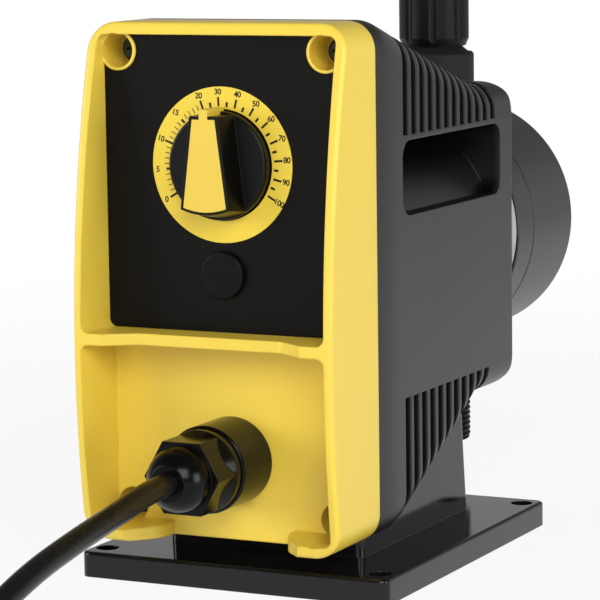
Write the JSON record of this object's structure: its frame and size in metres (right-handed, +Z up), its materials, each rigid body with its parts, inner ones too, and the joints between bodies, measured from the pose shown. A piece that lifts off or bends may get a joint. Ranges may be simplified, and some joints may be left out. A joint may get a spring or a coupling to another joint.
{
  "type": "diaphragm metering pump",
  "caption": "Electromagnetic diaphragm metering pump on a screw-down stand, with a turning rate knob, finned housing, ball-valve liquid end and power cord.",
  "frame": {"origin": "middle of the stand's four screw holes, on its underside", "axes": "+Z up, -Y towards the dial and the power cord's exit, +Y towards the liquid end, +X to the right of the liquid end seen from behind the dial's face, so that X = 0 is the pump's mid-plane"},
  "size_m": [0.1675, 0.5085, 0.209],
  "materials": {
    "cover_yellow": "smooth satin-gloss moulding",
    "housing_black": "satin moulding with a fine grain",
    "base_black": "glossy moulding",
    "label_black": "printed sheet with a slight sheen",
    "knob_black": "satin moulding",
    "gland_black": "glossy moulding",
    "liquid_end_black": "satin turned and moulded plastic",
    "cord_black": "satin sheath",
    "black_rubber": "matt",
    "plated_steel": "bright plated",
    "drive_steel": "machined, lightly oiled",
    "brass": "machined",
    "copper_wire": "enamelled wire",
    "natural_plastic": "natural, satin",
    "ceramic_white": "polished ceramic",
    "board_green": "solder mask",
    "component_blue": "moulded"
  },
  "bodies": {
    "pump": {"base_stand": "base_black", "stand_screws": "plated_steel", "housing": "housing_black", "cover_gasket": "black_rubber", "front_cover": "cover_yellow", "cover_screws": "plated_steel", "panel_label": "label_black", "dial_scale": "cover_yellow", "potentiometer": "plated_steel", "potentiometer_nut": "plated_steel", "blanking_plug": "knob_black", "control_board": "board_green", "board_screws": "plated_steel", "board_parts": "component_blue", "gland_body": "gland_black", "gland_nut": "gland_black", "gland_seal": "black_rubber", "gland_locknut": "gland_black", "cord_tail": "cord_black", "mains_leads": "component_blue", "drive_leads": "component_blue", "power_cord": "cord_black", "cord_coil": "cord_black", "plug_tail": "cord_black", "power_plug": "cord_black", "plug_blades": "brass", "drive_can": "drive_steel", "drive_screws": "plated_steel", "end_plate": "drive_steel", "shaft_bushing": "brass", "coil_bobbin": "natural_plastic", "coil_winding": "copper_wire", "pole_piece": "drive_steel", "armature_bumper": "black_rubber", "return_spring": "plated_steel", "spacer_ring": "liquid_end_black", "diaphragm": "natural_plastic", "pump_head": "liquid_end_black", "suction_port": "liquid_end_black", "head_screws": "plated_steel", "discharge_seat": "natural_plastic", "discharge_cage": "natural_plastic", "suction_retainer": "natural_plastic", "suction_seat": "natural_plastic", "suction_cage": "natural_plastic", "tube_ferrule": "natural_plastic", "coupling_nut": "liquid_end_black"},
    "knob": {"knob_body": "knob_black", "knob_insert": "cover_yellow", "potentiometer_shaft": "brass"},
    "armature_set": {"armature": "drive_steel", "armature_shaft": "plated_steel", "diaphragm_insert": "plated_steel"},
    "discharge_ball": {"discharge_ball": "ceramic_white"},
    "suction_ball": {"suction_ball": "ceramic_white"}
  },
  "joints": [
    {"name": "rate_knob_turn", "type": "hinge", "parent": "pump", "child": "knob", "pos_m": [0, -0.0726, 0.1473], "axis": [0, 1, 0], "range_deg": [-120, 120]},
    {"name": "armature_stroke", "type": "slide", "parent": "pump", "child": "armature_set", "axis": [0, 1, 0], "range_m": [0, 0.0018], "stiffness_N_per_m": 4000, "springref_m": -0.004, "deforming": ["return_spring", "diaphragm"]},
    {"name": "discharge_ball_lift", "type": "slide", "parent": "pump", "child": "discharge_ball", "axis": [0, 0, 1], "range_m": [0, 0.002]},
    {"name": "suction_ball_lift", "type": "slide", "parent": "pump", "child": "suction_ball", "axis": [0, 0, 1], "range_m": [0, 0.002]}
  ]
}
